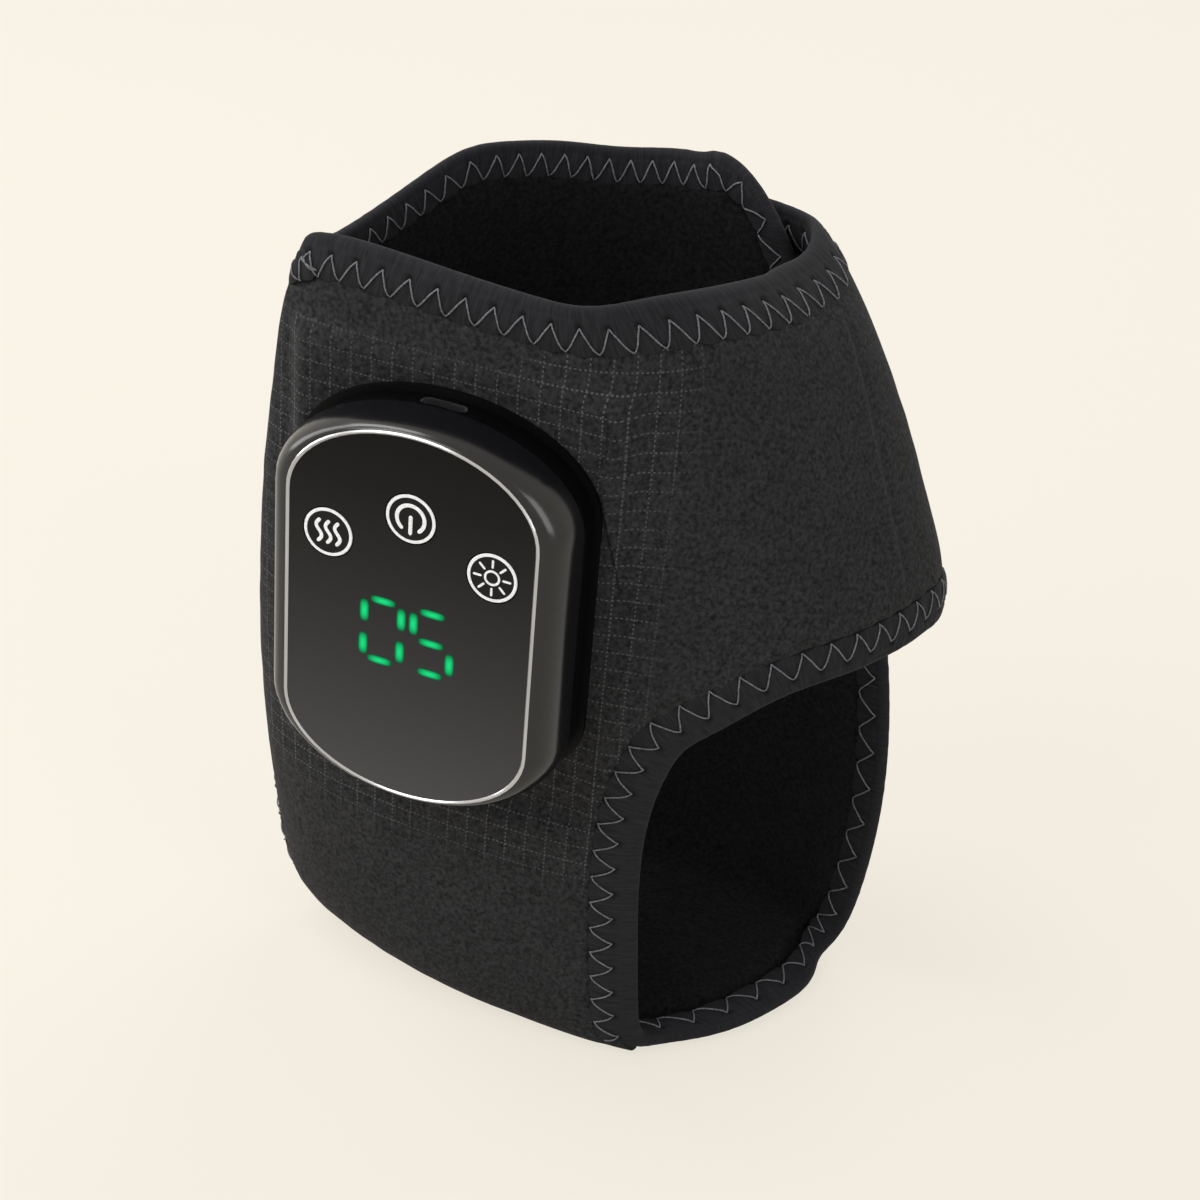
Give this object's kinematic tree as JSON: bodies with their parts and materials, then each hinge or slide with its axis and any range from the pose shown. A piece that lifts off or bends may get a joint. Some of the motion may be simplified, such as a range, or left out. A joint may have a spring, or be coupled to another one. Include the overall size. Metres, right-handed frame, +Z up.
{
  "type": "heated ankle wrap",
  "caption": "Open-heel fabric ankle wrap with a hook-and-loop instep flap and a slim control unit with push keys, a digit display and a USB-C inlet.",
  "frame": {"origin": "on the sole's flat underside, under the middle of the leg", "axes": "+X towards the toes, +Z up the leg, and the control unit faces -Y"},
  "size_m": [0.1276, 0.1009, 0.167],
  "materials": {
    "outer_fabric": "brushed woven charcoal cloth with a ripstop grid round the control unit",
    "fleece": "short dark fleece",
    "binding_tape": "knitted elastic tape with zigzag thread",
    "film": "amber polyimide heating film",
    "loop_cloth": "brushed loop cloth",
    "hook_cloth": "moulded hook strip",
    "grey_gloss": "metallic grey gloss",
    "black_gloss": "black gloss",
    "base_plastic": "fine matt black",
    "trim_metal": "bright plated line",
    "lens_black": "smoked gloss window",
    "key_black": "gloss cap with a pale ring and icon",
    "segment_green": "lit green bars; bars that are off are dark",
    "steel": "plain steel",
    "board_green": "solder mask",
    "cell_foil": "foil pouch"
  },
  "bodies": {
    "wrap": {"wrap_cover": "outer_fabric", "wrap_lining": "fleece", "edge_binding": "binding_tape", "heel_binding": "binding_tape", "heating_film": "film", "loop_patch": "loop_cloth", "mounting_base": "base_plastic", "clamp_plate": "steel", "clamp_screws": "steel", "back_shell": "black_gloss", "front_shell": "grey_gloss", "trim_ring": "trim_metal", "lens": "lens_black", "key_switches": "base_plastic", "display_module": "base_plastic", "display_segments": "segment_green", "circuit_board": "board_green", "usb_socket": "steel", "battery": "cell_foil", "vibration_motor": "steel"},
    "flap": {"flap_cover": "outer_fabric", "flap_lining": "fleece", "flap_binding": "binding_tape", "hook_patch": "hook_cloth"},
    "power_key": {"power_key": "key_black"},
    "wave_key": {"wave_key": "key_black"},
    "sun_key": {"sun_key": "key_black"}
  },
  "joints": [
    {"name": "flap_hinge", "type": "hinge", "parent": "wrap", "child": "flap", "pos_m": [0.03602, -0.0326, 0.0755], "axis": [0.2161, 0, -0.9764], "range_deg": [0, 110]},
    {"name": "power_press", "type": "slide", "parent": "wrap", "child": "power_key", "axis": [0, 1, 0], "range_m": [0, 0.0004], "stiffness_N_per_m": 400, "springref_m": -0.001},
    {"name": "wave_press", "type": "slide", "parent": "wrap", "child": "wave_key", "axis": [0, 1, 0], "range_m": [0, 0.0004], "stiffness_N_per_m": 400, "springref_m": -0.001},
    {"name": "sun_press", "type": "slide", "parent": "wrap", "child": "sun_key", "axis": [0, 1, 0], "range_m": [0, 0.0004], "stiffness_N_per_m": 400, "springref_m": -0.001}
  ]
}
